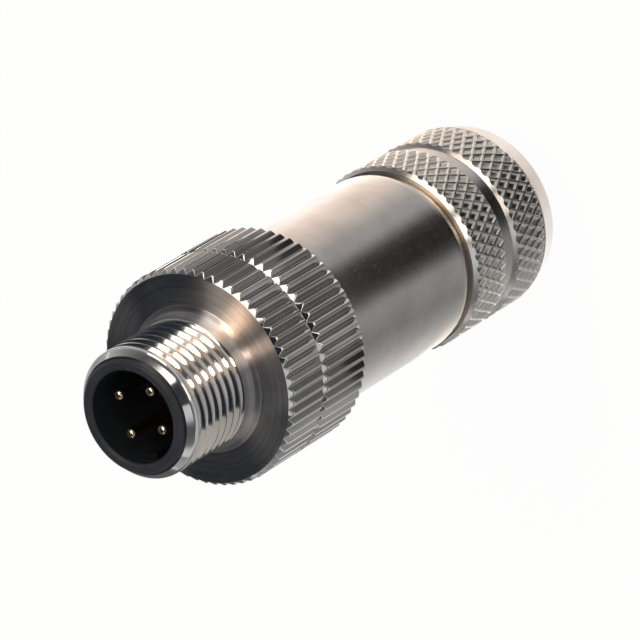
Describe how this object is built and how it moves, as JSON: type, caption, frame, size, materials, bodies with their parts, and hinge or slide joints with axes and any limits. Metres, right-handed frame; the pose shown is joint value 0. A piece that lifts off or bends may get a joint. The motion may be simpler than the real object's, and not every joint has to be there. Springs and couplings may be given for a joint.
{
  "type": "circular plug connector",
  "caption": "Straight circular plug connector with contact pins, knurled coupling ring, smooth metal sleeve and a knurled pressing nut for the cable.",
  "frame": {"origin": "middle of the pressing nut's rear face, which the plug stands on", "axes": "+Z along the axis to the mating side, the coding key in the cavity faces -X"},
  "size_m": [0.02, 0.02, 0.055],
  "materials": {
    "nickel_plated_brass": "turned brass, satin nickel plated",
    "black_insert": "moulded, slightly glossy black",
    "gold_contact": "gold plated, bright",
    "screw_steel": "zinc plated",
    "spring_steel": "plain spring steel",
    "shield_metal": "turned, nickel plated",
    "seal_rubber": "matt black rubber",
    "pinch_plastic": "moulded black plastic"
  },
  "bodies": {
    "plug_body": {"contact_insert": "black_insert", "contact_pin_1": "gold_contact", "contact_pin_2": "gold_contact", "contact_pin_3": "gold_contact", "contact_pin_4": "gold_contact", "terminal_screw_1": "screw_steel", "terminal_screw_2": "screw_steel", "terminal_screw_3": "screw_steel", "terminal_screw_4": "screw_steel", "insert_seal": "seal_rubber", "retaining_clip": "spring_steel", "insert_carrier": "nickel_plated_brass", "sleeve_seal": "seal_rubber", "housing_sleeve": "nickel_plated_brass", "shield_ring_front": "shield_metal", "shield_ring_rear": "shield_metal", "cable_seal": "seal_rubber"},
    "coupling": {"coupling_ring": "nickel_plated_brass"},
    "clamp": {"pinch_ring": "pinch_plastic"},
    "nut": {"pressing_nut": "nickel_plated_brass"}
  },
  "joints": [
    {"name": "ring_spin", "type": "hinge", "parent": "plug_body", "child": "coupling", "pos_m": [0, 0, 0.04], "axis": [0, 0, 1], "continuous": true},
    {"name": "clamp_travel", "type": "slide", "parent": "plug_body", "child": "clamp", "axis": [0, 0, -1], "range_m": [0, 0.004]},
    {"name": "nut_turn", "type": "hinge", "parent": "clamp", "child": "nut", "pos_m": [0, 0, 0.007], "axis": [0, 0, -1], "range_deg": [0, 1440]}
  ],
  "couplings": [
    {"joint": "clamp_travel", "follows": "nut_turn", "m_per_rad": 0.00015915}
  ]
}
